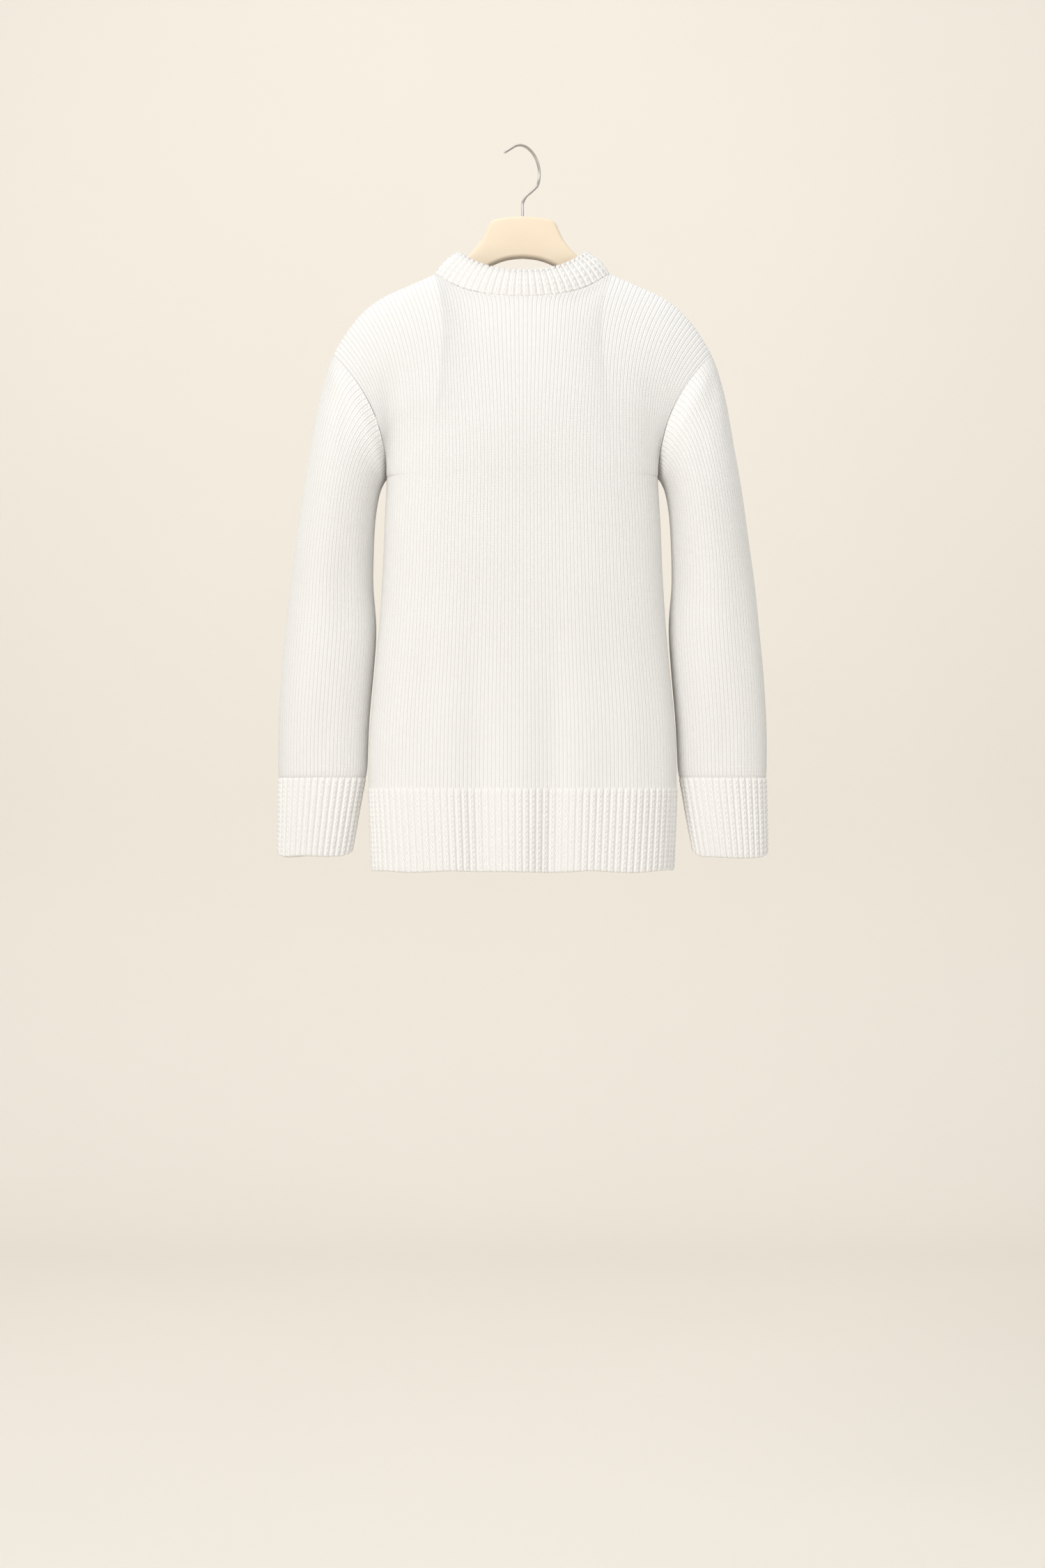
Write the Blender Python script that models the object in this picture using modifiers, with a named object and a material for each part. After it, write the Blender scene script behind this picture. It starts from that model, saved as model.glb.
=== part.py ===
"""Ivory wool sweater with ribbed hem, cuffs and neckband, on a moulded hanger with a wire hook.

Metres, +Z up. The sweater's back faces -Y and its front +Y, so its left sleeve is at -X.
The origin is the inside of the hook's crown, where a rail carries it.
"""

from collections import namedtuple
from math import cos, exp, pi, radians, sin, sqrt

import bmesh
import bpy
from mathutils import Vector
from mathutils.kdtree import KDTree

BACK = -1
FRONT = 1
LEFT = -1
RIGHT = 1

# Cloth
CLOTH = 0.0026                # wall of the plain knitting
RIB_WALL = 0.0030             # wall of a rib band under its ribs
RIB_RISE = 0.0018             # height of a rib over its wall
RIB_PITCH = 0.0080            # one rib with its groove, at the hem and the cuffs
NECK_PITCH = 0.0092           # the same at the neckband's seam
SEAM = 0.0002                 # each piece stops this far short of its seam
NECK_SEAM = 0.0006            # more for the neckband, whose ribs cut across the panels' corners

# Shoulder line and neck
NECK_HALF = 0.106             # from the middle to where the shoulder line meets the neck
NECK_TOP = -0.1555
SHOULDER_SLOPE = 0.44
TIP_HALF = 0.231              # from the middle to the shoulder's tip
TIP_BEND = 0.150              # where the line starts to bend over the hanger's end
TIP_DROP = 0.044              # how much further than the slope the tip lies
TIP_CURVE = 2.7
NECK_DROP = {BACK: 0.034, FRONT: 0.074}
NECK_DEPTH = {BACK: 0.042, FRONT: 0.048}
NECK_FULLNESS = {BACK: 0.5, FRONT: -0.2}  # 0 is a plain parabola, and a higher number is rounder
SHOULDER_ROUND = 10.0         # a higher number folds the cloth more sharply over the hanger
YOKE_RISE = 0.9               # share of the armhole's height over which the tube turns into the yoke

# Armhole
UNDERARM_HALF = 0.165
UNDERARM_Z = -0.405
ARMHOLE_CURVE = 2.2
ARMHOLE_DEPTH = 0.038
ARMHOLE_ROUND = 2.4
ARMHOLE_ROWS = 10
UNDERARM_REACH = 2.5          # a higher number keeps the underarm's fullness closer to the armhole
UNDERARM_RISE = 0.4           # share of the armhole's height at which that has spread across the panel

# Body below the armholes: half of its width and of its depth at each height
Section = namedtuple("Section", "height half_width half_depth")
CHEST = Section(UNDERARM_Z, UNDERARM_HALF, 0.077)
BODY = (
    Section(-0.782, 0.1878, 0.069),
    Section(-0.705, 0.1852, 0.072),
    Section(-0.620, 0.1775, 0.076),
    Section(-0.535, 0.1713, 0.079),
    Section(-0.465, 0.1682, 0.079),
)
HEM = Section(-0.883, 0.1838, 0.062)
BODY_ROUND = 2.8              # 2 is an ellipse, and a higher number is squarer

# Sleeve: its outer and inner edges from the shoulder down, and half of its depth
SleeveSection = namedtuple("SleeveSection", "outer_x outer_z inner_x inner_z half_depth")
SLEEVE = (
    SleeveSection(TIP_HALF, -0.256, UNDERARM_HALF, UNDERARM_Z, ARMHOLE_DEPTH),
    SleeveSection(0.2385, -0.276, 0.1690, -0.410, 0.045),
    SleeveSection(0.2480, -0.312, 0.1735, -0.420, 0.051),
    SleeveSection(0.2565, -0.358, 0.1770, -0.436, 0.055),
    SleeveSection(0.2645, -0.405, 0.1795, -0.458, 0.056),
    SleeveSection(0.2725, -0.455, 0.1810, -0.490, 0.054),
    SleeveSection(0.2805, -0.515, 0.1818, -0.534, 0.050),
    SleeveSection(0.2880, -0.580, 0.1782, -0.588, 0.044),
    SleeveSection(0.2940, -0.645, 0.1820, -0.648, 0.038),
    SleeveSection(0.2975, -0.710, 0.1873, -0.710, 0.032),
    SleeveSection(0.2980, -0.769, 0.1896, -0.769, 0.027),
)
ARMHOLE_REACH = 4             # rows of the sleeve that still follow the armhole's curve
CUFF_TOP = SleeveSection(0.2970, -0.769, 0.1914, -0.769, 0.0245)
CUFF_END = SleeveSection(0.2985, -0.866, 0.2085, -0.866, 0.021)

# Largest folds of the back and front, by the line of each trough
Fold = namedtuple("Fold", "side x_top z_top x_low z_low half_width depth deepest")
FOLDS = (
    Fold(BACK, -0.058, -0.450, -0.052, -0.883, 0.021, 0.0070, 1.0),
    Fold(BACK, 0.040, -0.480, 0.034, -0.883, 0.019, 0.0080, 1.0),
    Fold(BACK, -0.158, -0.250, -0.153, -0.470, 0.014, 0.0050, 0.45),
    Fold(BACK, 0.157, -0.250, 0.154, -0.455, 0.014, 0.0050, 0.45),
    Fold(FRONT, -0.084, -0.470, -0.078, -0.883, 0.022, 0.0070, 1.0),
    Fold(FRONT, 0.012, -0.430, 0.008, -0.883, 0.020, 0.0075, 1.0),
    Fold(FRONT, 0.098, -0.500, 0.090, -0.883, 0.020, 0.0060, 1.0),
    Fold(FRONT, -0.156, -0.250, -0.154, -0.450, 0.014, 0.0050, 0.45),
    Fold(FRONT, 0.158, -0.250, 0.153, -0.470, 0.014, 0.0050, 0.45),
)

# Points of the lines that the ribs are laid out on
HEM_POINTS = 81
CUFF_POINTS = 72

# A rib's outline: where along its pitch, and how much of its rise
RIB_SHAPE = ((0.0, 0.0), (0.28, 1.0), (0.72, 1.0))

# Neckband, from its seam up to its rounded top edge
BandRow = namedtuple("BandRow", "height rib wall")
NECKBAND = (
    BandRow(0.0, 0.6, 0.8),
    BandRow(0.45, 1.0, 1.1),
    BandRow(0.84, 1.0, 1.1),
    BandRow(1.0, 0.35, 0.5),
)
BAND_RISE = 0.030
BAND_SIDE_DROP = 0.0055       # the band leans over more, and so stands lower, on the hanger
BAND_NARROW = 0.76            # width of its top over the width of its seam
BAND_LEAN = 0.90              # depth of its top over the depth of its seam
BAND_BULGE = 0.0025

# Hanger
HANGER_THICK = 0.016
HANGER_EDGE = 0.007
HANGER_GAP = 0.0014           # over the middle of its arms, whose rounded sides carry the cloth
ARM_HEIGHT = 0.026
ARM_END_HEIGHT = 0.016
ARM_END = 0.93                # the last column of the shoulder that the arm reaches
ARM_END_SLANT = 0.004         # how much further in the arm's end is at its foot
HANGER_CROWN = ((0.0, -0.0850), (0.0365, -0.0895), (0.0410, -0.0945), (0.0486, -0.1110),
                (0.0580, -0.1240), (0.0680, -0.1345), (0.0790, -0.1465), (0.0920, -0.1565),
                (0.1070, -0.1645))
HANGER_ARCH = ((0.0850, -0.1790), (0.0600, -0.1600), (0.0390, -0.1460), (0.0200, -0.1385), (0.0, -0.1360))

# Hook: a wire whose plane is turned from the sweater's
WIRE = 0.0017
HOOK_RADIUS = 0.0300
HOOK_TURN = 46.0
HOOK_START = -28.0            # degrees round its bend, from level on the shank's far side
HOOK_END = 122.0
HOOK_TIP = 0.017
SHANK_DEPTH = 0.012
SHANK_TOP = -0.0700
SHANK_FIRST = -0.0780         # the last point of the wire's straight foot
SHANK_BEND = ((0.0036, -0.0648), (0.0095, -0.0583), (0.0180, -0.0506))
BORE_GAP = 0.0003
BEND_STEPS = 5                # points of the wire between two knots of its bend
CROWN_STEPS = 18              # points of the wire round its crown

# Columns across a panel: on the neck, and on each shoulder
NECK_COLUMNS = 16
SHOULDER_COLUMNS = 6


def blend(start, end, share):
    return start + (end - start) * share


def ease(share):
    share = min(max(share, 0.0), 1.0)
    return share * share * (3 - 2 * share)


def material(name, colour, roughness, metallic=0.0):
    finish = bpy.data.materials.new(name)
    finish.use_nodes = True
    shader = finish.node_tree.nodes["Principled BSDF"]
    shader.inputs["Base Color"].default_value = (*colour, 1.0)
    shader.inputs["Roughness"].default_value = roughness
    shader.inputs["Metallic"].default_value = metallic
    return finish


def add_object(name, bm, finish, collection):
    bmesh.ops.recalc_face_normals(bm, faces=bm.faces)
    mesh = bpy.data.meshes.new(name)
    bm.to_mesh(mesh)
    bm.free()
    mesh.materials.append(finish)
    mesh.shade_smooth()
    mesh.set_sharp_from_angle(angle=radians(40))
    piece = bpy.data.objects.new(name, mesh)
    collection.objects.link(piece)
    return piece


# Body

def panel_columns():
    """Places across a panel, from -1 to 1, with one on each end of the neck."""
    neck = NECK_HALF / TIP_HALF
    shoulder = [blend(neck, 1.0, step / SHOULDER_COLUMNS) for step in range(1, SHOULDER_COLUMNS + 1)]
    middle = [-neck * cos(pi * step / NECK_COLUMNS) for step in range(NECK_COLUMNS + 1)]
    return [-place for place in reversed(shoulder)] + middle + shoulder


def top_line(side, x):
    """Height of the shoulder line, or of the neck's seam between the shoulders."""
    reach = abs(x) / NECK_HALF
    if reach < 1:
        return NECK_TOP - NECK_DROP[side] * (1 - reach ** 2) * (1 + NECK_FULLNESS[side] * reach ** 2)
    bend = max(0.0, (abs(x) - TIP_BEND) / (TIP_HALF - TIP_BEND))
    return NECK_TOP - SHOULDER_SLOPE * (abs(x) - NECK_HALF) - TIP_DROP * bend ** TIP_CURVE


def fold_depth(side, x, z):
    """How far the troughs take the cloth in at one place."""
    depth = 0.0
    for fold in FOLDS:
        share = (fold.z_top - z) / (fold.z_top - fold.z_low)
        if fold.side != side or not 0 < share <= 1:
            continue
        if share < fold.deepest:
            strength = ease(share / fold.deepest)
        elif fold.deepest < 1:
            strength = ease((1 - share) / (1 - fold.deepest))
        else:
            strength = 1.0
        aside = (x - blend(fold.x_top, fold.x_low, share)) / fold.half_width
        depth += fold.depth * strength * exp(-aside ** 2)
    return depth


def lower_point(side, column, section):
    """A point below the armholes, where the body is a flattened tube."""
    across = sin(column * pi / 2)
    x = across * section.half_width
    swell = max(0.0, 1 - abs(across) ** BODY_ROUND) ** (1 / BODY_ROUND)
    fold = fold_depth(side, x, section.height) * min(1.0, 2 * swell)
    return Vector((x, side * (section.half_depth * swell - fold), section.height))


def armhole_depth(rise):
    return ARMHOLE_DEPTH * (1 - abs(2 * rise - 1) ** ARMHOLE_ROUND) ** (1 / ARMHOLE_ROUND)


def upper_point(side, column, rise):
    """A point between the underarm, where rise is 0, and the shoulder line, where it is 1."""
    yoke = ease(rise / YOKE_RISE)
    across = blend(sin(column * pi / 2), column, yoke)
    top_x = column * TIP_HALF
    x = across * blend(UNDERARM_HALF, TIP_HALF, rise ** ARMHOLE_CURVE)
    z = blend(UNDERARM_Z, top_line(side, top_x), rise)
    middle = blend(CHEST.half_depth, NECK_DEPTH[side], ease(rise))
    swell = max(0.0, 1 - abs(across) ** BODY_ROUND) ** blend(1 / BODY_ROUND, 1.0, yoke)
    neck = NECK_DEPTH[side] * sqrt(max(0.0, 1 - (top_x / NECK_HALF) ** 2))
    fallen = blend(neck, middle, sqrt(1 - rise ** SHOULDER_ROUND))
    reach = blend(UNDERARM_REACH, 1.0, ease(rise / UNDERARM_RISE))
    depth = fallen * swell + armhole_depth(rise) * (1 - swell) ** reach
    fold = fold_depth(side, x, z) * min(1.0, 2 * swell)
    return Vector((x, side * (depth - fold), z))


def armhole_rises():
    return [(1 - cos(pi * step / ARMHOLE_ROWS)) / 2 for step in range(ARMHOLE_ROWS + 1)]


def panel_grid(side):
    columns = panel_columns()
    lower = [[lower_point(side, column, section) for column in columns] for section in BODY]
    upper = [[upper_point(side, column, rise) for column in columns] for rise in armhole_rises()]
    return lower + upper


# Sleeves

def sleeve_ring(side, section, count):
    """A ring of a sleeve from its inner edge, round by the back to its outer edge, and by the front."""
    inner = Vector((side * section.inner_x, 0.0, section.inner_z))
    outer = Vector((side * section.outer_x, 0.0, section.outer_z))
    ring = []
    for step in range(count):
        angle = 2 * pi * step / count
        point = inner.lerp(outer, (1 - cos(angle)) / 2)
        point.y = -section.half_depth * sin(angle)
        ring.append(point)
    return ring


def armhole_ring(side):
    rises = armhole_rises()
    back = [upper_point(BACK, side, rise) for rise in rises]
    front = [upper_point(FRONT, side, rise) for rise in reversed(rises[1:-1])]
    return back + front


def sleeve_grid(side):
    """Rings from the armhole to the cuff. The first ones still have the armhole's curve."""
    count = 2 * ARMHOLE_ROWS
    armhole = armhole_ring(side)
    plain = sleeve_ring(side, SLEEVE[0], count)
    grid = []
    for row, section in enumerate(SLEEVE):
        hold = max(0.0, 1 - row / ARMHOLE_REACH) ** 2
        ring = sleeve_ring(side, section, count)
        grid.append([point + (seam - flat) * hold for point, seam, flat in zip(ring, armhole, plain)])
    return grid


# Walls

def add_faces(bm, grid, ring, turned=False):
    """Adds a grid of points as vertices with the faces between them."""
    verts = [[bm.verts.new(point) for point in row] for row in grid]
    columns = len(grid[0])
    for low, high in zip(verts, verts[1:]):
        for column in range(columns if ring else columns - 1):
            after = (column + 1) % columns
            corners = (low[column], low[after], high[after], high[column])
            bm.faces.new(reversed(corners) if turned else corners)
    return verts


def skin_normals(grids):
    """Outward normals of the whole cloth, which two pieces share where they meet."""
    bm = bmesh.new()
    for grid, ring in grids:
        add_faces(bm, grid, ring)
    bmesh.ops.remove_doubles(bm, verts=bm.verts, dist=0.00001)
    bmesh.ops.recalc_face_normals(bm, faces=bm.faces)
    bm.normal_update()
    normals = [vert.normal.copy() for vert in bm.verts]
    tree = KDTree(len(normals))
    for index, vert in enumerate(bm.verts):
        tree.insert(vert.co, index)
    tree.balance()
    bm.free()
    return lambda point: normals[tree.find(point)[1]]


def inside(grid, normals, level_row):
    """The grid moved in by the cloth's thickness. The row at a rib band stays level."""
    rows = []
    for number, row in enumerate(grid):
        moved = []
        for point in row:
            normal = normals(point).copy()
            if number == level_row % len(grid):
                normal.z = 0.0
                normal.normalize()
            moved.append(point - normal * CLOTH)
        rows.append(moved)
    return rows


def drawn_back(edge, within, closed, seam):
    """An edge's points moved square to the edge, towards the line next to it."""
    moved = []
    last = len(edge) - 1
    for step, point in enumerate(edge):
        before = edge[step - 1] if closed or step else point
        after = edge[(step + 1) % len(edge)] if closed or step < last else point
        along = (after - before).normalized()
        inward = within[step] - point
        moved.append((inward - along * inward.dot(along)).normalized() * seam)
    return moved


def short_of_seams(grid, ring, seam):
    """The same grid, with its outer rows, and a sheet's outer columns, drawn back from the seams."""
    drawn = [[point.copy() for point in row] for row in grid]
    for edge, within in ((0, 1), (-1, -2)):
        for column, move in enumerate(drawn_back(grid[edge], grid[within], ring, seam)):
            drawn[edge][column] += move
        if not ring:
            side = [row[edge] for row in grid]
            for number, move in enumerate(drawn_back(side, [row[within] for row in grid], False, seam)):
                drawn[number][edge] += move
    return drawn


def wall(name, outer, inner, finish, collection, ring=False, seam=SEAM):
    """A closed wall between an outer and an inner grid of points."""
    bm = bmesh.new()
    outer_verts = add_faces(bm, short_of_seams(outer, ring, seam), ring)
    inner_verts = add_faces(bm, short_of_seams(inner, ring, seam), ring, turned=True)
    edges = [(outer_verts[row], inner_verts[row], ring) for row in (0, -1)]
    if not ring:
        for column in (0, -1):
            edges.append(([row[column] for row in outer_verts], [row[column] for row in inner_verts], False))
    for out, back, closed in edges:
        for step in range(len(out) if closed else len(out) - 1):
            after = (step + 1) % len(out)
            bm.faces.new((out[step], out[after], back[after], back[step]))
    return add_object(name, bm, finish, collection)


# Rib bands

def along_line(line, places, values=None):
    """Points at the given shares of a line's length, or other values that its points have."""
    values = values or line
    lengths = [0.0]
    for start, end in zip(line, line[1:]):
        lengths.append(lengths[-1] + (end - start).length)
    found = []
    step = 0
    for place in places:
        target = place * lengths[-1]
        while step < len(line) - 2 and lengths[step + 1] < target:
            step += 1
        share = (target - lengths[step]) / (lengths[step + 1] - lengths[step])
        found.append(values[step].lerp(values[step + 1], share))
    return found


def rib_columns(ribs, closed):
    """Places and rises of the points along a number of ribs."""
    columns = [((rib + place) / ribs, rise) for rib in range(ribs) for place, rise in RIB_SHAPE]
    if not closed:
        columns.append((1.0, 0.0))
    return columns


def level_normals(points, centre, closed):
    """Outward normals of a level line round a centre."""
    normals = []
    last = len(points) - 1
    for step, point in enumerate(points):
        before = points[step - 1] if closed or step else point
        after = points[(step + 1) % len(points)] if closed or step < last else point
        normal = (after - before).cross(Vector((0, 0, 1))).normalized()
        normals.append(normal if normal.dot(point - centre) > 0 else -normal)
    return normals


def length_of(line):
    return sum((end - start).length for start, end in zip(line, line[1:]))


def level_band(name, lines, centre, finish, collection, closed):
    """A rib band between two level lines, with its ribs raised on the outside."""
    columns = rib_columns(round(length_of(lines[0]) / RIB_PITCH), closed)
    outer = []
    inner = []
    for line in lines:
        points = along_line(line, [place for place, rise in columns])
        middle = Vector((centre.x, centre.y, points[0].z))
        normals = level_normals(points, middle, closed)
        outer.append([point + normal * RIB_RISE * (rise - 0.5)
                      for point, normal, (place, rise) in zip(points, normals, columns)])
        inner.append([point - normal * RIB_WALL for point, normal in zip(points, normals)])
    return wall(name, outer, inner, finish, collection, closed)


def make_hem(side, name, finish, collection):
    columns = [blend(-1.0, 1.0, step / (HEM_POINTS - 1)) for step in range(HEM_POINTS)]
    lines = [[lower_point(side, column, section) for column in columns] for section in (HEM, BODY[0])]
    return level_band(name, lines, Vector(), finish, collection, closed=False)


def make_cuff(side, name, finish, collection):
    lines = [sleeve_ring(side, section, CUFF_POINTS) for section in (CUFF_TOP, CUFF_END)]
    lines = [line + line[:1] for line in lines]
    centre = Vector((side * (CUFF_END.outer_x + CUFF_END.inner_x) / 2, 0.0, 0.0))
    return level_band(name, lines, centre, finish, collection, closed=True)


def make_neckband(grids, normals, finish, collection):
    """The band that stands on the neck's seam and leans in, with its ribs following it round."""
    first = SHOULDER_COLUMNS
    back = grids[BACK][-1][first:first + NECK_COLUMNS + 1]
    front = grids[FRONT][-1][first:first + NECK_COLUMNS + 1]
    points = []
    seam_normals = []
    rises = []
    for seam in (back, front[::-1]):
        columns = rib_columns(round(length_of(seam) / NECK_PITCH), closed=True)
        places = [place for place, rise in columns]
        rises += [rise for place, rise in columns]
        points += along_line(seam, places)
        seam_normals += [normal.normalized()
                         for normal in along_line(seam, places, [normals(point) for point in seam])]
    tops = [band_top(point) for point in points]
    outer = []
    inner = []
    for row in NECKBAND:
        line = [point.lerp(top, row.height) for point, top in zip(points, tops)]
        out_row = []
        in_row = []
        for step, point in enumerate(line):
            around = line[(step + 1) % len(line)] - line[step - 1]
            normal = around.cross(tops[step] - points[step]).normalized()
            normal = normal if normal.dot(point - Vector((0, 0, point.z))) > 0 else -normal
            normal = seam_normals[step].lerp(normal, min(1.0, row.height * 2)).normalized()
            bulge = BAND_BULGE * sin(pi * row.height)
            out_row.append(point + normal * (RIB_RISE * row.rib * rises[step] + bulge))
            in_row.append(point + normal * (bulge - RIB_WALL * row.wall))
        outer.append(out_row)
        inner.append(in_row)
    return wall("neck_rib", outer, inner, finish, collection, ring=True, seam=NECK_SEAM)


def band_top(point):
    """The neckband's top edge over a point of the neck's seam."""
    rise = BAND_RISE - BAND_SIDE_DROP * (abs(point.x) / NECK_HALF) ** 8
    return Vector((point.x * BAND_NARROW, point.y * BAND_LEAN, point.z + rise))


# Hanger

def hanger_outline():
    """The hanger's right half from its crown, out along the arm's top and back below it."""
    arm = []
    step_out = 0.001
    for column in panel_columns():
        x = column * TIP_HALF
        if x > NECK_HALF + step_out and column < ARM_END:
            slope = Vector((step_out, top_line(BACK, x + step_out) - top_line(BACK, x))).normalized()
            drop = CLOTH + HANGER_GAP
            arm.append((x + slope.y * drop, top_line(BACK, x) - slope.x * drop))
    below = []
    for step, (x, z) in enumerate(arm):
        height = blend(ARM_HEIGHT, ARM_END_HEIGHT, step / (len(arm) - 1))
        below.append((x - ARM_END_SLANT * step / len(arm), z - height))
    return list(HANGER_CROWN) + arm + below[::-1] + list(HANGER_ARCH)


def make_hanger(finish, collection, tools):
    half = hanger_outline()
    outline = half + [(-x, z) for x, z in reversed(half[1:-1])]
    bm = bmesh.new()
    verts = [bm.verts.new((x, -HANGER_THICK / 2, z)) for x, z in outline]
    face = bm.faces.new(verts)
    pushed = bmesh.ops.extrude_face_region(bm, geom=[face])["geom"]
    moved = [item for item in pushed if isinstance(item, bmesh.types.BMVert)]
    bmesh.ops.translate(bm, verts=moved, vec=(0, HANGER_THICK, 0))
    hanger = add_object("hanger_body", bm, finish, collection)

    rounding = hanger.modifiers.new("Rounded edges", "BEVEL")
    rounding.width = HANGER_EDGE
    rounding.segments = 3
    rounding.limit_method = "ANGLE"
    rounding.angle_limit = radians(60)

    bm = bmesh.new()
    bmesh.ops.create_cone(bm, cap_ends=True, segments=16, radius1=WIRE + BORE_GAP,
                          radius2=WIRE + BORE_GAP, depth=2 * (SHANK_DEPTH + BORE_GAP))
    cutter = add_object("shank_bore", bm, finish, tools)
    cutter.location.z = HANGER_CROWN[0][1]
    cutter.display_type = "WIRE"
    cutter.hide_render = True
    bore = hanger.modifiers.new("Shank bore", "BOOLEAN")
    bore.object = cutter
    bore.operation = "DIFFERENCE"
    return hanger


def hook_route():
    """The wire's line in the hook's own plane: the shank, its bend, the round crown and the tip."""
    centre_z = WIRE - HOOK_RADIUS
    route = [(0.0, HANGER_CROWN[0][1] - SHANK_DEPTH), (0.0, SHANK_FIRST)]
    start = radians(HOOK_START)
    run_in = (HOOK_RADIUS * cos(start), centre_z + HOOK_RADIUS * sin(start))
    knots = [(0.0, SHANK_FIRST), (0.0, SHANK_TOP), *SHANK_BEND, run_in]
    after = start + radians(20)
    ghost = (HOOK_RADIUS * cos(after), centre_z + HOOK_RADIUS * sin(after))
    for before, first, second, beyond in zip(knots, knots[1:], knots[2:], knots[3:] + [ghost]):
        for step in range(BEND_STEPS):
            route.append(curve_point(before, first, second, beyond, step / BEND_STEPS))
    for step in range(CROWN_STEPS + 1):
        angle = blend(start, radians(HOOK_END), step / CROWN_STEPS)
        route.append((HOOK_RADIUS * cos(angle), centre_z + HOOK_RADIUS * sin(angle)))
    angle = radians(HOOK_END)
    last = route[-1]
    route.append((last[0] - HOOK_TIP * sin(angle), last[1] + HOOK_TIP * cos(angle)))
    return route


def curve_point(before, first, second, beyond, share):
    """A point between two knots on a smooth line through four of them."""
    found = []
    for a, b, c, d in zip(before, first, second, beyond):
        square = share * share
        cube = square * share
        found.append(0.5 * (2 * b + (c - a) * share + (2 * a - 5 * b + 4 * c - d) * square
                            + (3 * b - a - 3 * c + d) * cube))
    return tuple(found)


def make_hook(finish, collection):
    curve = bpy.data.curves.new("hanger_hook", "CURVE")
    curve.dimensions = "3D"
    curve.bevel_depth = WIRE
    curve.bevel_resolution = 2
    curve.use_fill_caps = True
    route = hook_route()
    spline = curve.splines.new("POLY")
    spline.points.add(len(route) - 1)
    for knot, (reach, height) in zip(spline.points, route):
        knot.co = (reach, 0.0, height, 1.0)
    curve.materials.append(finish)
    hook = bpy.data.objects.new("hanger_hook", curve)
    hook.rotation_euler.z = radians(HOOK_TURN)
    collection.objects.link(hook)
    return hook


def main():
    for old in list(bpy.data.objects):
        bpy.data.objects.remove(old)
    sweater = bpy.data.collections.new("Wool sweater on hanger")
    tools = bpy.data.collections.new("Cutters")
    for collection in (sweater, tools):
        bpy.context.scene.collection.children.link(collection)

    knit = material("Ivory wool knit", (0.86, 0.84, 0.80), 0.95)
    rib = material("Ivory wool rib", (0.85, 0.83, 0.79), 0.95)
    plastic = material("Cream moulded plastic", (0.86, 0.73, 0.56), 0.55)
    steel = material("Drawn steel wire", (0.62, 0.60, 0.57), 0.30, 1.0)

    grids = {BACK: panel_grid(BACK), FRONT: panel_grid(FRONT)}
    sleeves = {LEFT: sleeve_grid(LEFT), RIGHT: sleeve_grid(RIGHT)}
    normals = skin_normals([(grid, False) for grid in grids.values()]
                           + [(grid, True) for grid in sleeves.values()])

    for side, name in ((BACK, "back"), (FRONT, "front")):
        wall(name, grids[side], inside(grids[side], normals, 0), knit, sweater)
        make_hem(side, "hem_rib_" + name, rib, sweater)
    for side, name in ((LEFT, "left"), (RIGHT, "right")):
        wall("sleeve_" + name, sleeves[side], inside(sleeves[side], normals, -1), knit, sweater, ring=True)
        make_cuff(side, "cuff_rib_" + name, rib, sweater)
    make_neckband(grids, normals, rib, sweater)
    make_hanger(plastic, sweater, tools)
    make_hook(steel, sweater)


main()
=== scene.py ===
"""Looks of an ivory wool sweater that hangs on a moulded hanger with a wire hook.

Metres, +Z up. The sweater's back faces -Y and its left sleeve is at -X.
Each piece of cloth is a thin shell on the form of the solid that it replaces.
"""

from collections import namedtuple
from math import ceil, cos, exp, floor, pi, radians, sin, sqrt

import bmesh
import bpy
from mathutils import Matrix, Vector, noise


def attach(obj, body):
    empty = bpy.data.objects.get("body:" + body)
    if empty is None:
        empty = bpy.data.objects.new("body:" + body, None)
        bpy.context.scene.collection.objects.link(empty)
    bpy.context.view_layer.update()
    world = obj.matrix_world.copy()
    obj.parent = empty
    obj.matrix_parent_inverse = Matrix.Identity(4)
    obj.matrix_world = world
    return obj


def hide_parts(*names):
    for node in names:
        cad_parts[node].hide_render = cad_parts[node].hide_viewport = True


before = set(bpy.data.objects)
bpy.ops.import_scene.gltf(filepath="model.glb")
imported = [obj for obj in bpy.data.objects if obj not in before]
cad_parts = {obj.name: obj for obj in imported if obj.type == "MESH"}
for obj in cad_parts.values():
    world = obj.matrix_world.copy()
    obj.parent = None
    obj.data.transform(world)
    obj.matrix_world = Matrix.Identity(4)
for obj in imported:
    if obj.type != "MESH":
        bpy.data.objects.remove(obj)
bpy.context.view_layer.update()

BACK = -1
FRONT = 1
LEFT = -1
RIGHT = 1

# Plain knitting
CLOTH = 0.0026                # its wall
WALE = 0.0044                 # width of one column of stitches
COURSE = 0.0031               # height of one row of them
SEAM_DIP = 0.0004             # depth of the line that a seam draws in the cloth
SEAM_HALF = 0.0024            # half of that line's width
UNEVEN = 0.0007               # how far any cloth strays from its smooth form
UNEVEN_SCALE = 14             # how closely its dents follow each other, over a metre

# Rib bands
RIB_WALL = 0.0030             # wall under the ribs
RIB_RISE = 0.0016             # height of a rib over its groove
RIB_MIDDLE = 0.5              # share of that height that lies within the band's form
RIB_PITCH = 0.0080            # one rib with its groove, at the hem and the cuffs
RIB_CURVE = 2.4               # above 2 a rib is broader than its groove
RIB_STITCH = 0.0061           # height of one stitch of a rib
STITCH_RISE = 0.0008          # how far a rib's stitches stand out of each other
STITCH_SLANT = 0.9            # how far a stitch's legs climb from the rib's middle to its sides, in stitches
RIB_SWAY = 0.040              # how far its stitches push a rib's grooves aside, in its pitch
RIB_START = 0.005             # how far from the seam a rib has its full height
RIB_AT_SEAM = 0.2             # share of its height that it has at the seam
RIB_ROUNDING = 0.0040         # how far from the free edge a band starts to round off
RIB_ROUNDING_DEPTH = 0.6      # depth of that rounding, as a share of it
EDGE_STRAY = 0.0030           # how far the hem's and the cuffs' free edges stray
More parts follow.
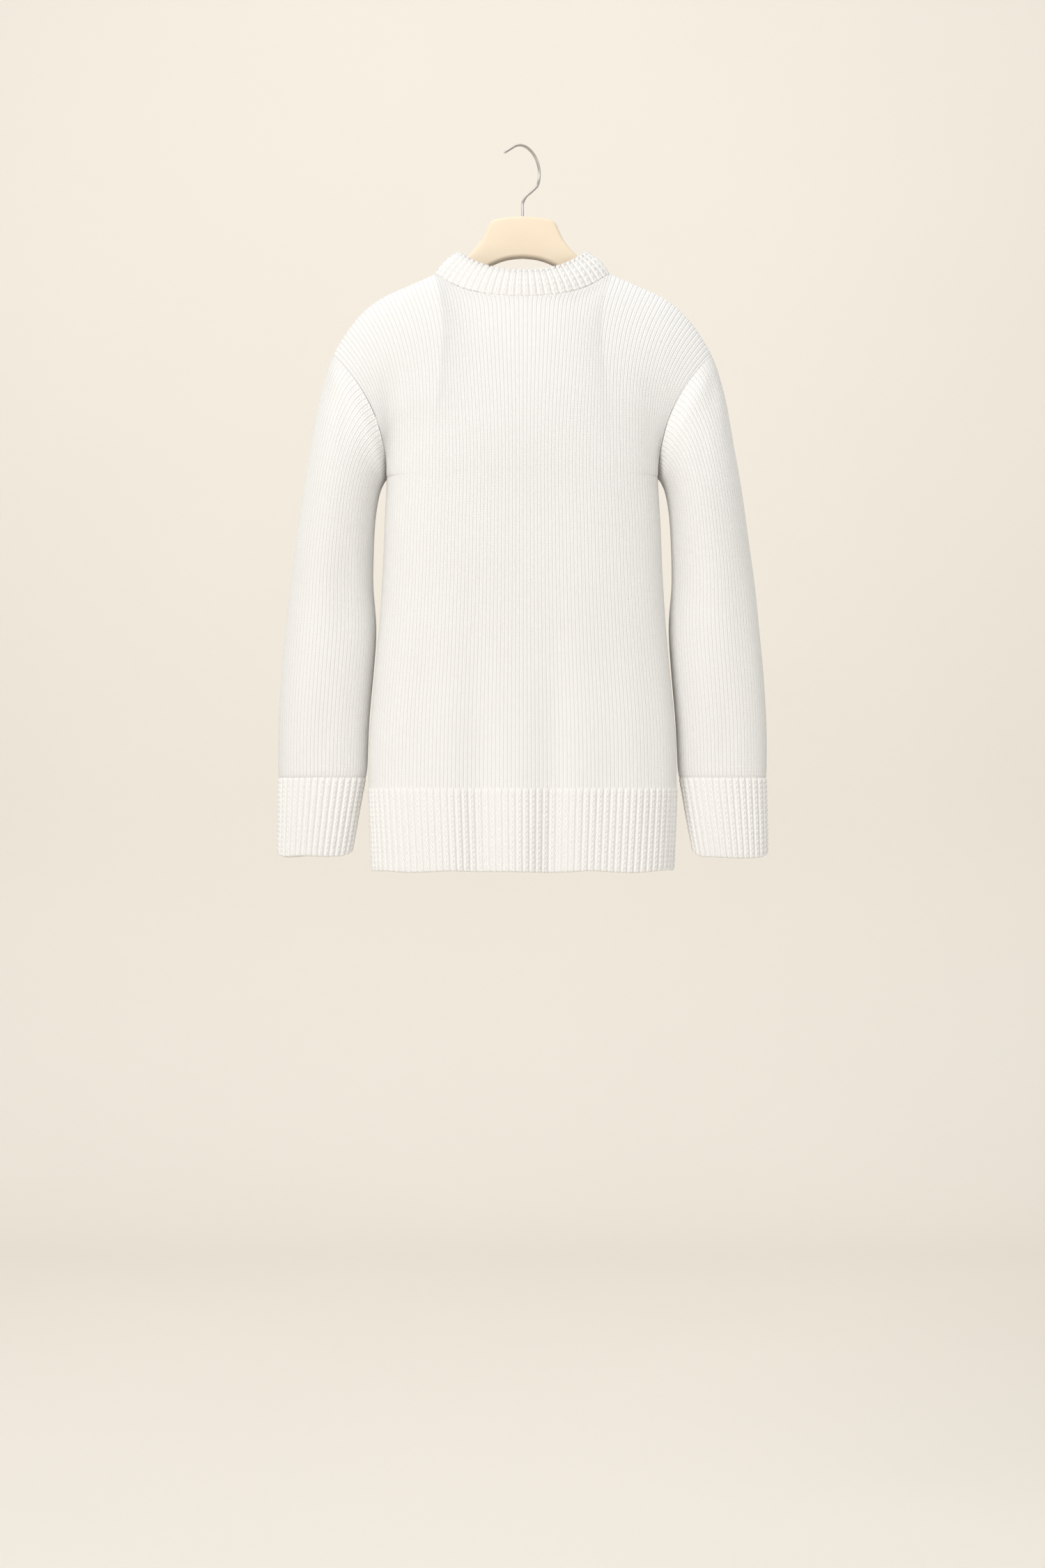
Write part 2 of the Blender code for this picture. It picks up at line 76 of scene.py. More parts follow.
HEM_STRAY_SCALE = 18          # how closely the hem's waves follow each other, over a metre
CUFF_STRAY_SCALE = 25
CUFF_LIFT = 0.0050            # how far a cuff's free edge rises at its two sides
CUFF_LIFT_CURVE = 9           # how closely that rise keeps to the sides

# Shoulder line and neck
NECK_HALF = 0.106
NECK_TOP = -0.1555
SHOULDER_SLOPE = 0.44
TIP_HALF = 0.231
TIP_BEND = 0.150
TIP_DROP = 0.044
TIP_CURVE = 2.7
NECK_DROP = {BACK: 0.034, FRONT: 0.074}
NECK_DEPTH = {BACK: 0.042, FRONT: 0.048}
NECK_FULLNESS = {BACK: 0.5, FRONT: -0.2}
NECK_SOFT = 1.8               # how softly the neck's round form runs out below it, where 0.5 is a round one
NECK_SOFT_RISE = 0.82
NECK_RETURN = 16              # how late on its way up the cloth turns to the neckline
SHOULDER_ROUND = 10.0
YOKE_RISE = 0.9

# Armhole
UNDERARM_HALF = 0.165
UNDERARM_Z = -0.405
ARMHOLE_CURVE = 2.2
ARMHOLE_DEPTH = 0.038
ARMHOLE_ROUND = 2.4
UNDERARM_REACH = 2.5
UNDERARM_RISE = 0.4
CREASE_RISE = 0.30            # how far up the seam the crease between body and sleeve reaches
CREASE_SHARE = 0.42           # share of the depth that the crease takes at the underarm
CREASE_HALF = 0.0065
CREASE_FADE = 0.060           # how far below the underarm it runs out on the body

# Body below the armholes: height, half of its width and half of its depth
BODY = (
    (-0.782, 0.1878, 0.069),
    (-0.705, 0.1852, 0.072),
    (-0.620, 0.1775, 0.076),
    (-0.535, 0.1713, 0.079),
    (-0.465, 0.1682, 0.079),
    (UNDERARM_Z, UNDERARM_HALF, 0.077),
)
HEM = (-0.883, 0.1838, 0.062)
BODY_ROUND = 2.8

# Sleeve: outer x and z, inner x and z, and half of its depth, from the shoulder down
SLEEVE = (
    (TIP_HALF, -0.256, UNDERARM_HALF, UNDERARM_Z, ARMHOLE_DEPTH),
    (0.2385, -0.276, 0.1690, -0.410, 0.045),
    (0.2480, -0.312, 0.1735, -0.420, 0.051),
    (0.2565, -0.358, 0.1770, -0.436, 0.055),
    (0.2645, -0.405, 0.1795, -0.458, 0.056),
    (0.2725, -0.455, 0.1810, -0.490, 0.054),
    (0.2805, -0.515, 0.1818, -0.534, 0.050),
    (0.2880, -0.580, 0.1782, -0.588, 0.044),
    (0.2940, -0.645, 0.1820, -0.648, 0.038),
    (0.2975, -0.710, 0.1873, -0.710, 0.032),
    (0.2980, -0.769, 0.1896, -0.769, 0.027),
)
ARMHOLE_REACH = 4             # sections of the sleeve that still follow the armhole's curve
CUFF_TOP = (0.2970, -0.769, 0.1914, -0.769, 0.0245)
CUFF_END = (0.2985, -0.866, 0.2085, -0.866, 0.021)
CUFF_RUN = 0.35               # share of the table's last step in which the sleeve narrows to the cuff

# Folds and creases by the line of each one's bottom. A negative depth is a ridge.
Fold = namedtuple("Fold", "side x_top z_top x_low z_low half_width depth deepest")
BODY_FOLDS = (
    Fold(BACK, -0.058, -0.450, -0.052, -0.883, 0.021, 0.0070, 1.0),
    Fold(BACK, 0.040, -0.480, 0.034, -0.883, 0.019, 0.0080, 1.0),
    Fold(BACK, -0.158, -0.250, -0.153, -0.470, 0.014, 0.0050, 0.45),
    Fold(BACK, 0.157, -0.250, 0.154, -0.455, 0.014, 0.0050, 0.45),
    Fold(FRONT, -0.084, -0.470, -0.078, -0.883, 0.022, 0.0070, 1.0),
    Fold(FRONT, 0.012, -0.430, 0.008, -0.883, 0.020, 0.0075, 1.0),
    Fold(FRONT, 0.098, -0.500, 0.090, -0.883, 0.020, 0.0060, 1.0),
    Fold(FRONT, -0.156, -0.250, -0.154, -0.450, 0.014, 0.0050, 0.45),
    Fold(FRONT, 0.158, -0.250, 0.153, -0.470, 0.014, 0.0050, 0.45),
    # Smaller ones, which only the looks have
    Fold(BACK, -0.168, -0.268, -0.157, -0.440, 0.007, 0.0022, 0.35),
    Fold(BACK, 0.166, -0.275, 0.158, -0.430, 0.007, 0.0018, 0.35),
    Fold(BACK, -0.186, -0.282, -0.176, -0.345, 0.006, 0.0014, 0.5),
    Fold(BACK, -0.110, -0.480, -0.122, -0.800, 0.018, 0.0016, 0.6),
    Fold(BACK, -0.004, -0.520, -0.004, -0.883, 0.016, -0.0014, 1.0),
    Fold(BACK, 0.096, -0.500, 0.112, -0.840, 0.020, 0.0018, 0.7),
    Fold(BACK, 0.150, -0.560, 0.158, -0.860, 0.012, 0.0012, 0.6),
    Fold(BACK, -0.152, -0.520, -0.160, -0.820, 0.011, 0.0012, 0.5),
    Fold(FRONT, -0.166, -0.270, -0.156, -0.430, 0.007, 0.0020, 0.35),
    Fold(FRONT, 0.168, -0.270, 0.157, -0.445, 0.007, 0.0020, 0.35),
    Fold(FRONT, -0.130, -0.520, -0.138, -0.840, 0.016, 0.0016, 0.6),
    Fold(FRONT, -0.034, -0.500, -0.036, -0.883, 0.014, 0.0018, 1.0),
    Fold(FRONT, 0.054, -0.540, 0.050, -0.860, 0.014, -0.0012, 0.8),
    Fold(FRONT, 0.148, -0.540, 0.156, -0.850, 0.012, 0.0014, 0.6),
)
SLEEVE_FOLDS = (
    Fold(BACK, -0.231, -0.268, -0.234, -0.390, 0.008, 0.0034, 0.3),
    Fold(BACK, -0.212, -0.300, -0.217, -0.420, 0.010, 0.0016, 0.4),
    Fold(BACK, -0.206, -0.420, -0.222, -0.660, 0.013, 0.0022, 0.5),
    Fold(BACK, -0.262, -0.460, -0.276, -0.740, 0.012, 0.0014, 0.6),
    Fold(BACK, -0.232, -0.600, -0.240, -0.769, 0.012, 0.0016, 0.7),
    Fold(BACK, 0.229, -0.268, 0.231, -0.370, 0.008, 0.0024, 0.3),
    Fold(BACK, 0.214, -0.310, 0.218, -0.430, 0.010, 0.0018, 0.4),
    Fold(BACK, 0.204, -0.430, 0.216, -0.640, 0.013, 0.0018, 0.5),
    Fold(BACK, 0.258, -0.450, 0.270, -0.700, 0.013, 0.0016, 0.5),
    Fold(BACK, 0.242, -0.620, 0.250, -0.769, 0.013, 0.0018, 0.7),
    Fold(FRONT, -0.228, -0.270, -0.232, -0.380, 0.009, 0.0028, 0.3),
    Fold(FRONT, -0.210, -0.430, -0.226, -0.680, 0.013, 0.0020, 0.5),
    Fold(FRONT, -0.256, -0.540, -0.262, -0.769, 0.013, 0.0016, 0.6),
    Fold(FRONT, 0.230, -0.272, 0.234, -0.385, 0.009, 0.0028, 0.3),
    Fold(FRONT, 0.212, -0.420, 0.224, -0.650, 0.013, 0.0022, 0.5),
    Fold(FRONT, 0.262, -0.520, 0.268, -0.769, 0.013, 0.0014, 0.6),
)
CAP_PUFF = 0.0022             # how far the sleeve swells just below its seam
CAP_PUFF_FROM_SEAM = 0.013
CAP_PUFF_HALF = 0.009

# Neckband
NECK_PITCH = 0.0092           # one rib with its groove at the band's seam
BAND_RISE = 0.030
BAND_SIDE_DROP = 0.0055
BAND_SIDE_CURVE = 8           # how closely that drop keeps to the sides
BAND_NARROW = 0.76
BAND_LEAN = 0.90
BAND_BULGE = 0.0025
BAND_WALL = 0.0033
BAND_NEAR = 0.004             # share of the way round over which its direction is measured
# Where, round the band's cross-section, its outside, its top edge and its inside end
BAND_OUTSIDE = 0.50
BAND_EDGE = 0.66
BAND_INSIDE = 0.94
BAND_FOOT = 0.06              # the same for the ribs' run-out at the seam
BAND_RIB_MIDDLE = 0.35        # share of a rib's height that lies within the band's form
FOOT_SHARE = 0.5              # share of their height that the ribs have at the seam
INNER_SHARE = 0.4             # and inside the band
SCALLOP = 1.5                 # and at its top edge
SCALLOP_FROM = 0.9            # how far up the outside they start to stand out so

# Meshes of the cloth
PANEL_FACES = (132, 168)
PANEL_SPREAD = 0.86           # nearer 1 crowds a panel's columns more at its sides
UNDERARM_SHARE = 0.52         # share of a panel's rows that are below the underarm
WALES_UP = 0.30               # how far up a panel its columns of stitches are counted
SHOULDER_UP = 0.97            # how far up they follow the shoulders
HEIGHT_ACROSS = 0.72          # how far across a panel its height is measured
SLEEVE_FACES = (96, 150)
SLEEVE_SPREAD = 1.25          # above 1 it crowds a sleeve's rows at its head
RIB_FACES = 8                 # faces across one rib
HEM_ROWS = 92
CUFF_ROWS = 90
NECK_ROWS = 46
EDGE_SHARE = 0.00001          # nearer than this share is on a mesh's edge
WELD = 0.00002                # a tube's edges join where they are as near as this
MEASURES = 60                 # steps in which a sheet's width and length are measured
RULER_STEPS = 160

# Hanger
HANGER_THICK = 0.016
HANGER_EDGE = 0.007           # how much of its thickness the rounding of its edges takes
HANGER_INSET = 0.005          # the same rounding's width on its faces
HANGER_GAP = 0.0014
ARM_HEIGHT = 0.026
ARM_END_HEIGHT = 0.016
ARM_END_SLANT = 0.004
ARM_END = 0.93
ARM_START_OUT = 0.012         # how far outside the neck's corner an arm starts to follow the shoulder
ARM_END_SHORT = 0.004
ARM_NEAR = 0.001              # distance over which the shoulder's slope is measured
ARM_POINTS = 9
HANGER_POINTS = 64            # points along its top, and as many along its underside
TURN_STEP = 15                # degrees from point to point round its ends and edges
SHARP_EDGE = 50.0             # edges that turn by more degrees stay sharp
HANGER_CROWN = ((0.0, -0.0850), (0.0190, -0.0862), (0.0330, -0.0886), (0.0388, -0.0915), (0.0425, -0.0972),
                (0.0486, -0.1110), (0.0580, -0.1240), (0.0680, -0.1345), (0.0790, -0.1465),
                (0.0920, -0.1565), (0.1070, -0.1645))
HANGER_ARCH = ((0.0850, -0.1790), (0.0600, -0.1600), (0.0390, -0.1460), (0.0200, -0.1385), (0.0, -0.1360))

# Hook
WIRE = 0.0017                 # radius
HOOK_RADIUS = 0.0300          # of the middle of its wire, round the crown
HOOK_TURN = 46.0              # degrees round the shank from the hanger's plane
HOOK_START = -28.0            # degrees round the crown
HOOK_LEAD = 20.0              # how many more degrees of it lead the line of the bend
HOOK_END = 122.0
HOOK_TIP = 0.017              # length of the straight tip
TIP_SHARES = (0.3, 0.6, 1.0)
TIP_TURNS = (0.4, 0.8, 1.15, 1.4)
SHANK_DEPTH = 0.012
SHANK_TOP = -0.0700
SHANK_FIRST = -0.0780
SHANK_BEND = ((0.0022, -0.0650), (0.0071, -0.0586), (0.0152, -0.0524))
SHANK_STEPS = 8               # steps between two knots
CROWN_STEPS = 40
BORE_GAP = 0.0003
BORE_SEGMENTS = 32

# Yarn in the knitting's finish
LEG_SLANT = 0.85              # how far a stitch's legs climb from its middle to its sides, in rows
LEG_WANDER = 0.30
LOBE_WIDTH = 0.82
HAIR_RISE = 0.22

# Studio
WARM_WHITE = (1.0, 0.99, 0.975)
COOL_WHITE = (0.98, 0.99, 1.0)
WHITE = (1.0, 1.0, 1.0)
SKY_STRENGTH = 0.64
COVE_FLOOR = -2.0
COVE_FRONT = -6.0
COVE_BACK = 4.6
COVE_BEND = 1.2
COVE_BEND_STEPS = 16
COVE_HALF = 9.0
COVE_RISE = 3.6
SWEATER_MIDDLE = (0.0, 0.0, -0.5)
Lamp = namedtuple("Lamp", "name place target size power colour")
LAMPS = (
    Lamp("Key", (-2.9, -4.0, 1.7), SWEATER_MIDDLE, (2.2, 2.2), 140.0, WARM_WHITE),
    Lamp("Fill", (2.2, -2.6, -0.4), SWEATER_MIDDLE, (2.0, 2.6), 18.0, COOL_WHITE),
    Lamp("Top", (0.0, 0.2, 2.2), SWEATER_MIDDLE, (2.4, 1.6), 18.0, WHITE),
    Lamp("Backdrop", (0.0, 1.2, 2.4), (0.0, COVE_BACK, -0.4), (4.0, 0.8), 45.0, WARM_WHITE),
)

# Camera: level, square to the sweater's back, with the picture's middle at this height
EYE_DISTANCE = 3.0
EYE_HEIGHT = -0.777
VIEW_HEIGHT = 1.9125          # what the picture shows from top to bottom at the sweater
SENSOR = 36.0


def blend(start, end, share):
    return start + (end - start) * share


def ease(share):
    share = min(max(share, 0.0), 1.0)
    return share * share * (3 - 2 * share)


def smooth_between(before, first, second, beyond, share):
    """A tuple between two knots on a smooth line through four of them."""
    square = share * share
    cube = square * share
    return tuple(
        0.5 * (2 * b + (c - a) * share + (2 * a - 5 * b + 4 * c - d) * square + (3 * b - a - 3 * c + d) * cube)
        for a, b, c, d in zip(before, first, second, beyond))


def smooth_at(knots, place):
    """A tuple on a smooth line through a table's rows. Place 0 is its first row, 1 its second and so on."""
    last = len(knots) - 1
    row = min(int(max(place, 0.0)), last - 1)
    around = [knots[min(max(row + step, 0), last)] for step in (-1, 0, 1, 2)]
    return smooth_between(*around, place - row)


def length_of(line):
    return sum((end - start).length for start, end in zip(line, line[1:]))


class Ruler:
    """Turns a share of a line's length into its own parameter, and that into the length so far."""

    def __init__(self, line_at):
        points = [Vector(line_at(step / RULER_STEPS)) for step in range(RULER_STEPS + 1)]
        self.lengths = [0.0]
        for start, end in zip(points, points[1:]):
            self.lengths.append(self.lengths[-1] + (end - start).length)
        self.total = self.lengths[-1]

    def length(self, place):
        step = min(int(place * RULER_STEPS), RULER_STEPS - 1)
        return blend(self.lengths[step], self.lengths[step + 1], place * RULER_STEPS - step)

    def place(self, share):
        target = share * self.total
        low, high = 0, RULER_STEPS
        while high - low > 1:
            middle = (low + high) // 2
            if self.lengths[middle] <= target:
                low = middle
            else:
                high = middle
        beyond = (target - self.lengths[low]) / (self.lengths[high] - self.lengths[low])
        return (low + beyond) / RULER_STEPS


# Shape of the body

def top_line(side, x):
    reach = abs(x) / NECK_HALF
    if reach < 1:
        return NECK_TOP - NECK_DROP[side] * (1 - reach ** 2) * (1 + NECK_FULLNESS[side] * reach ** 2)
    bend = max(0.0, (abs(x) - TIP_BEND) / (TIP_HALF - TIP_BEND))
    return NECK_TOP - SHOULDER_SLOPE * (abs(x) - NECK_HALF) - TIP_DROP * bend ** TIP_CURVE


def smooth_rise(side, x, rise):
    """The rise measured to the shoulder line as if it ran on round the neck, so that no kink runs down."""
    inward = NECK_HALF - abs(x)
    if inward <= 0:
        return rise
    crest = NECK_TOP + SHOULDER_SLOPE * inward * (1 - 0.5 * inward / NECK_HALF)
    level = rise * (top_line(side, x) - UNDERARM_Z) / (crest - UNDERARM_Z)
    return blend(level, rise, rise ** NECK_RETURN)


def fold_depth(folds, side, x, z):
    """How far the troughs take the cloth in at one place."""
    depth = 0.0
    for fold in folds:
        share = (fold.z_top - z) / (fold.z_top - fold.z_low)
        if fold.side != side or not 0 < share <= 1:
            continue
        aside = (x - blend(fold.x_top, fold.x_low, share)) / fold.half_width
        if abs(aside) > 3:
            continue
        if share < fold.deepest:
            strength = ease(share / fold.deepest)
        elif fold.deepest < 1:
            strength = ease((1 - share) / (1 - fold.deepest))
        else:
            strength = 1.0
        depth += fold.depth * strength * exp(-aside ** 2)
    return depth


def body_section(height):
    """Half of the body's width and depth at a height, on a smooth line through the table."""
    row = 0
    while row < len(BODY) - 2 and BODY[row + 1][0] < height:
        row += 1
    share = (height - BODY[row][0]) / (BODY[row + 1][0] - BODY[row][0])
    return smooth_at(BODY, row + share)[1:]


def lower_point(side, column, height, half_width, half_depth):
    across = sin(column * pi / 2)
    x = across * half_width
    swell = max(0.0, 1 - abs(across) ** BODY_ROUND) ** (1 / BODY_ROUND)
    fold = fold_depth(BODY_FOLDS, side, x, height) * min(1.0, 2 * swell)
    return Vector((x, side * (half_depth * swell - fold), height))


def armhole_depth(rise):
    return ARMHOLE_DEPTH * max(0.0, 1 - abs(2 * rise - 1) ** ARMHOLE_ROUND) ** (1 / ARMHOLE_ROUND)


def upper_point(side, column, rise):
    """A point between the underarm, where rise is 0, and the shoulder line, where it is 1."""
    top_x = column * TIP_HALF
    level = smooth_rise(side, top_x, rise)
    yoke = ease(level / YOKE_RISE)
    across = blend(sin(column * pi / 2), column, yoke)
    x = across * blend(UNDERARM_HALF, TIP_HALF, level ** ARMHOLE_CURVE)
    z = blend(UNDERARM_Z, top_line(side, top_x), rise)
    middle = blend(BODY[-1][2], NECK_DEPTH[side], ease(level))
    swell = max(0.0, 1 - abs(across) ** BODY_ROUND) ** blend(1 / BODY_ROUND, 1.0, yoke)
    sharpness = blend(NECK_SOFT, 0.5, ease((rise - NECK_SOFT_RISE) / (1 - NECK_SOFT_RISE)))
    neck = NECK_DEPTH[side] * max(0.0, 1 - (top_x / NECK_HALF) ** 2) ** sharpness
    fallen = blend(neck, middle, sqrt(max(0.0, 1 - rise ** SHOULDER_ROUND)))
    reach = blend(UNDERARM_REACH, 1.0, ease(level / UNDERARM_RISE))
    depth = fallen * swell + armhole_depth(rise) * (1 - swell) ** reach
    fold = fold_depth(BODY_FOLDS, side, x, z) * min(1.0, 2 * swell)
    return Vector((x, side * (depth - fold), z))


def creased(point, seam, rise, strength=1.0):
    """The point drawn in where the sleeve and the body press together under the arm."""
    if rise < CREASE_RISE and strength > 0:
        near = exp(-((point - seam).length / CREASE_HALF) ** 2)
        point.y *= 1 - CREASE_SHARE * strength * (1 - rise / CREASE_RISE) * near
    return point


def panel_column(across):
    """A column from -1 to 1, closer together at the sides, where the cloth turns."""
    return sin(PANEL_SPREAD * pi / 2 * across) / sin(PANEL_SPREAD * pi / 2)


def panel_rise(up):
    """How far a row of the panel is between the underarm and the shoulder line."""
    share = max(0.0, (up - UNDERARM_SHARE) / (1 - UNDERARM_SHARE))
    return (1 - cos(pi * share)) / 2


def panel_point(side, across, up):
    """A point of a panel. Across and up go from 0 to 1."""
    column = panel_column(2 * across - 1)
    if up < UNDERARM_SHARE:
        height = blend(BODY[0][0], UNDERARM_Z, up / UNDERARM_SHARE)
        point = lower_point(side, column, height, *body_section(height))
        seam = Vector(((1 if column > 0 else -1) * body_section(height)[0], 0.0, height))
        return creased(point, seam, 0.0, ease(1 - (UNDERARM_Z - height) / CREASE_FADE))
    rise = panel_rise(up)
    seam = upper_point(side, 1.0 if column > 0 else -1.0, rise)
    return creased(upper_point(side, column, rise), seam, rise)


# Shape of the sleeves

def sleeve_point(side, angle, section):
    """A point of a plain sleeve ring. Angle 0 is its inner edge, and pi its outer edge, round by the back."""
    outer_x, outer_z, inner_x, inner_z, half_depth = section
    share = (1 - cos(angle)) / 2
    return Vector((side * blend(inner_x, outer_x, share), -half_depth * sin(angle),
                   blend(inner_z, outer_z, share)))


def panel_beside(angle):
    return BACK if angle <= pi else FRONT


def armhole_point(side, angle):
    return upper_point(panel_beside(angle), side, (1 - cos(angle)) / 2)


def sleeve_surface(side, angle, row):
    """A point of a sleeve at a place in the table of sections, which its first ones bend to the armhole."""
    section = smooth_at(SLEEVE, row)
    to_cuff = (row - len(SLEEVE) + 1) / CUFF_RUN + 1
    if to_cuff > 0:
        section = [blend(wide, narrow, ease(to_cuff)) for wide, narrow in zip(section, CUFF_TOP)]
    point = sleeve_point(side, angle, section)
    hold = max(0.0, 1 - row / ARMHOLE_REACH) ** 2
    if hold:
        point += (armhole_point(side, angle) - sleeve_point(side, angle, SLEEVE[0])) * hold
    panel = panel_beside(angle)
    fold = fold_depth(SLEEVE_FOLDS, panel, point.x, point.z) * min(1.0, 2 * abs(sin(angle)))
    point.y -= panel * fold
    if row > ARMHOLE_REACH:
        return point
    return creased(point, armhole_point(side, angle), (1 - cos(angle)) / 2)


# Shape of the rib bands

def rib_profile(place):
    """How far a rib stands out at a place along its pitch, from 0 in its groove to 1."""
    aside = abs(2 * (place - floor(place)) - 1)
    return 1 - aside ** RIB_CURVE


def stitch_profile(ribs, stitches):
    """The slanted legs of a rib's stitches, from -1 to 1."""
    aside = abs(2 * (ribs - floor(ribs)) - 1)
    return cos(2 * pi * (stitches - STITCH_SLANT * aside)) * (1 - aside ** 3)


class Neck:
    """The neckband's line of sewing and what stands on it."""

    def __init__(self):
        self.rulers = {}
        self.ribs = {}
        for side in (BACK, FRONT):
            self.rulers[side] = Ruler(lambda share, side=side: self.seam_point(side, share))
            self.ribs[side] = round(self.rulers[side].total / NECK_PITCH)
        self.count = self.ribs[BACK] + self.ribs[FRONT]

    def seam_point(self, side, share):
        column = -cos(pi * share) * NECK_HALF / TIP_HALF
        return upper_point(side, column, 1.0)

    def foot(self, around):
        """A point of the seam: round by the back from the left corner, and then by the front."""
        ribs = (around % 1.0) * self.count
        if ribs <= self.ribs[BACK]:
            return self.seam_point(BACK, self.rulers[BACK].place(ribs / self.ribs[BACK]))
        share = 1 - (ribs - self.ribs[BACK]) / self.ribs[FRONT]
        return self.seam_point(FRONT, self.rulers[FRONT].place(share))

    def top(self, foot):
        rise = BAND_RISE - BAND_SIDE_DROP * (abs(foot.x) / NECK_HALF) ** BAND_SIDE_CURVE
        return Vector((foot.x * BAND_NARROW, foot.y * BAND_LEAN, foot.z + rise))

    def surface(self, around, height):
        foot = self.foot(around)
        return foot.lerp(self.top(foot), height)

    def point(self, around, section):
        """A point round the closed cross-section of the band, which starts at the foot of its outside."""
        if section < BAND_OUTSIDE:
            height, depth = section / BAND_OUTSIDE, 0.0
        elif section < BAND_EDGE:
            turn = pi * (section - BAND_OUTSIDE) / (BAND_EDGE - BAND_OUTSIDE)
            height, depth = 1.0, BAND_WALL * (1 - cos(turn)) / 2
        elif section < BAND_INSIDE:
            height, depth = 1 - (section - BAND_EDGE) / (BAND_INSIDE - BAND_EDGE), BAND_WALL
        else:
            height, depth = 0.0, BAND_WALL * (1 - section) / (1 - BAND_INSIDE)
        point = self.surface(around, height)
        along = self.surface(around + BAND_NEAR, height) - self.surface(around - BAND_NEAR, height)
        up = (self.surface(around, 1.0) - self.surface(around, 0.0)).normalized()
        out = along.cross(up).normalized()
        if out.dot(Vector((point.x, point.y, 0.0))) < 0:
            out = -out
        point = point + out * (BAND_BULGE * sin(pi * height) - depth)
        if BAND_OUTSIDE <= section < BAND_EDGE:
            point += up * (BAND_WALL / 2 * sin(turn))
        return point


# Pieces of cloth

def placed(name, data):
    """A new object in the scene."""
    made = bpy.data.objects.new(name, data)
    bpy.context.scene.collection.objects.link(made)
    return made


def meshed(name, bm):
    """A new mesh with the shape of bm, which is freed."""
    mesh = bpy.data.meshes.new(name)
    bm.to_mesh(mesh)
    bm.free()
    return mesh


def on_edge(share):
    return not EDGE_SHARE < share < 1 - EDGE_SHARE


def faces_inwards(bm, ring):
    """Whether the faces look at a ring's own middle, or a sheet's at the plane between back and front."""
    centre = sum((vert.co for vert in bm.verts), Vector()) / len(bm.verts)
    if not ring:
        centre.y = 0.0
    facing = 0.0
    for face in bm.faces:
        middle = face.calc_center_median()
        facing += face.normal.dot(Vector((middle.x - centre.x, middle.y - centre.y, 0.0))) * face.calc_area()
    return facing < 0


def cloth(name, node, finish, size, place, stitches, relief, ring=False, closed=False, wall=CLOTH):
    """A sheet or a tube of knitting on the surface that place gives, for shares across and up of 0 to 1.

    Stitches gives the same place in stitches, for the finish, and relief how far it stands out.
    A ring's two sides join, and a closed ring is a whole wall with its own thickness.
    """
    bm = bmesh.new()
    bmesh.ops.create_grid(bm, x_segments=size[0], y_segments=size[1], size=1)
    spot = bm.verts.layers.float_vector.new("spot")
    counted = bm.loops.layers.uv.new("Stitches")
    for vert in bm.verts:
        vert[spot] = (vert.co + Vector((1, 1, 0))) / 2
    for face in bm.faces:
        for loop in face.loops:
            loop[counted].uv = stitches(*loop.vert[spot].xy)
    for vert in bm.verts:
        vert.co = place(*vert[spot].xy)
    if ring:
        sides = [vert for vert in bm.verts
                 if on_edge(vert[spot].x) or (closed and on_edge(vert[spot].y))]
        bmesh.ops.remove_doubles(bm, verts=sides, dist=WELD)
    for edge in bm.edges:
        free = wall == RIB_WALL and max(vert[spot].y for vert in edge.verts) < EDGE_SHARE
        if edge.is_boundary and not free:
            edge.smooth = False
    area = sum(face.calc_area() for face in bm.faces)
    bm.normal_update()
    if closed:
        bmesh.ops.recalc_face_normals(bm, faces=bm.faces)
    elif faces_inwards(bm, ring):
        bmesh.ops.reverse_faces(bm, faces=bm.faces)
    bm.normal_update()
    for vert in bm.verts:
        stray = UNEVEN * noise.noise(vert.co * UNEVEN_SCALE)
        vert[spot] = vert.normal * (relief(*vert[spot].xy) + stray)
    for vert in bm.verts:
        vert.co += vert[spot]
    bm.verts.layers.float_vector.remove(spot)

    mesh = meshed(name, bm)
    mesh.materials.append(finish)
    mesh.shade_smooth()
    piece = placed(name, mesh)
    if not closed:
        thickness = piece.modifiers.new("Cloth", "SOLIDIFY")
        thickness.thickness = wall
        thickness.offset = -1.0
    around = length_of([place(step / MEASURES, 0.5) for step in range(MEASURES + 1)])
    along = length_of([place(0.5, step / MEASURES) for step in range(MEASURES + 1)])
    if closed:
        along /= 2
        area /= 2
    width = ceil(1000 * max(around, area / along)) / 1000
    along = ceil(1000 * along) / 1000
    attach(piece, "root")
    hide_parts(node)


def seam_dip(distance):
    return -SEAM_DIP * exp(-(distance / SEAM_HALF) ** 2)


def make_panel(side, name, finish):
    wales = Ruler(lambda share: panel_point(side, share, WALES_UP))
    shoulder = Ruler(lambda share: panel_point(side, share, SHOULDER_UP))
    courses = Ruler(lambda share: panel_point(side, HEIGHT_ACROSS, share))
    count = wales.total / WALE

    def stitches(across, up):
        """Wales follow the panel's columns, and courses are level."""
        low, high = wales.length(across) / wales.total, shoulder.length(across) / shoulder.total
        height = blend(BODY[0][0], UNDERARM_Z, min(1.0, up / UNDERARM_SHARE))
        height = blend(height, top_line(side, panel_column(2 * across - 1) * TIP_HALF), panel_rise(up))
        return count * blend(low, high, ease(panel_rise(up))), (height - BODY[0][0]) / COURSE

    def relief(across, up):
        from_side = min(wales.length(across), wales.total - wales.length(across))
        from_top = courses.total - courses.length(up)
        return seam_dip(from_side) + seam_dip(from_top)

    cloth(name + "_panel", name, finish, PANEL_FACES,
          lambda across, up: panel_point(side, across, up), stitches, relief)


